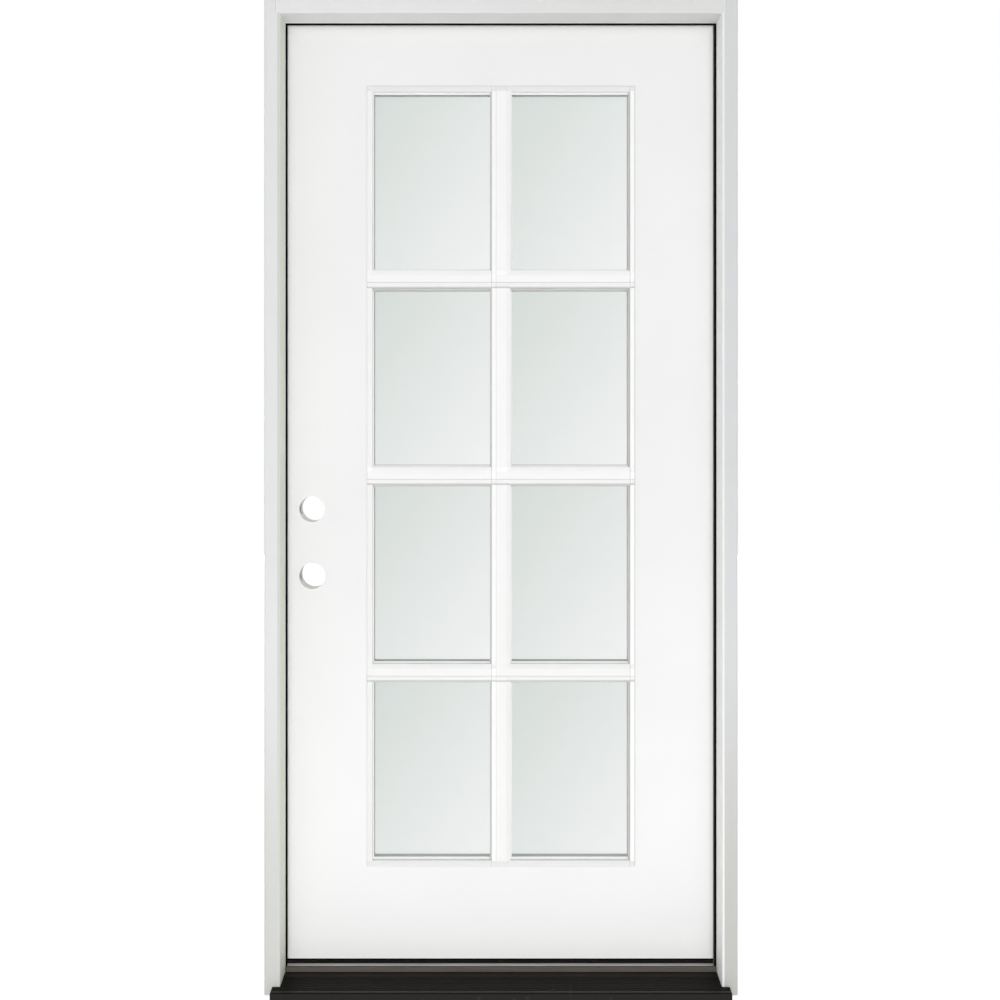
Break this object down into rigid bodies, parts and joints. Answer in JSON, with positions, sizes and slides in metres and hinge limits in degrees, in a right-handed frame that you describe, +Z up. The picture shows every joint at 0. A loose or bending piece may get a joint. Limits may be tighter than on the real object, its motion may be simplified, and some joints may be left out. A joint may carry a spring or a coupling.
{
  "type": "front_door",
  "caption": "Prehung fiberglass front door with a clear divided lite, swinging inward in a rabbeted white frame over a dark bronze sill.",
  "frame": {"origin": "middle of the sill's underside, halfway through the depth of the jambs", "axes": "+Z up, +X toward the hinge side across the doorway, +Y into the building"},
  "size_m": [0.9566, 0.1573, 2.0159],
  "materials": {
    "painted_wood": "satin white paint",
    "skin": "smooth factory white fiberglass",
    "moulding": "satin white moulding",
    "foam": "rigid foam",
    "core_wood": "bare engineered wood",
    "block_composite": "pale lock block composite",
    "glass": "clear",
    "spacer_metal": "white enamel",
    "seal": "soft matte",
    "bronze": "dark bronze anodised",
    "cap": "dark bronze composite",
    "base_composite": "rough composite",
    "hinge_steel": "satin nickel plate"
  },
  "bodies": {
    "frame": {"head_jamb": "painted_wood", "hinge_jamb": "painted_wood", "strike_jamb": "painted_wood", "head_seal": "seal", "hinge_seal": "seal", "strike_seal": "seal", "sill_base": "base_composite", "sill_deck": "bronze", "threshold_cap": "cap", "frame_leaf_top": "hinge_steel", "hinge_pin_top": "hinge_steel", "frame_leaf_middle": "hinge_steel", "hinge_pin_middle": "hinge_steel", "frame_leaf_bottom": "hinge_steel", "hinge_pin_bottom": "hinge_steel"},
    "door": {"outside_skin": "skin", "inside_skin": "skin", "lock_stile": "core_wood", "lock_block": "block_composite", "hinge_stile": "core_wood", "top_rail": "core_wood", "bottom_rail": "core_wood", "foam_core": "foam", "outside_lite_frame": "moulding", "inside_lite_frame": "moulding", "outside_glass": "glass", "inside_glass": "glass", "glass_spacer": "spacer_metal", "door_sweep": "seal", "door_leaf_top": "hinge_steel", "door_leaf_middle": "hinge_steel", "door_leaf_bottom": "hinge_steel"}
  },
  "joints": [
    {"name": "door_swing", "type": "hinge", "parent": "frame", "child": "door", "pos_m": [0.45663, 0.06595, 0], "axis": [0, 0, -1], "range_deg": [0, 170]}
  ]
}
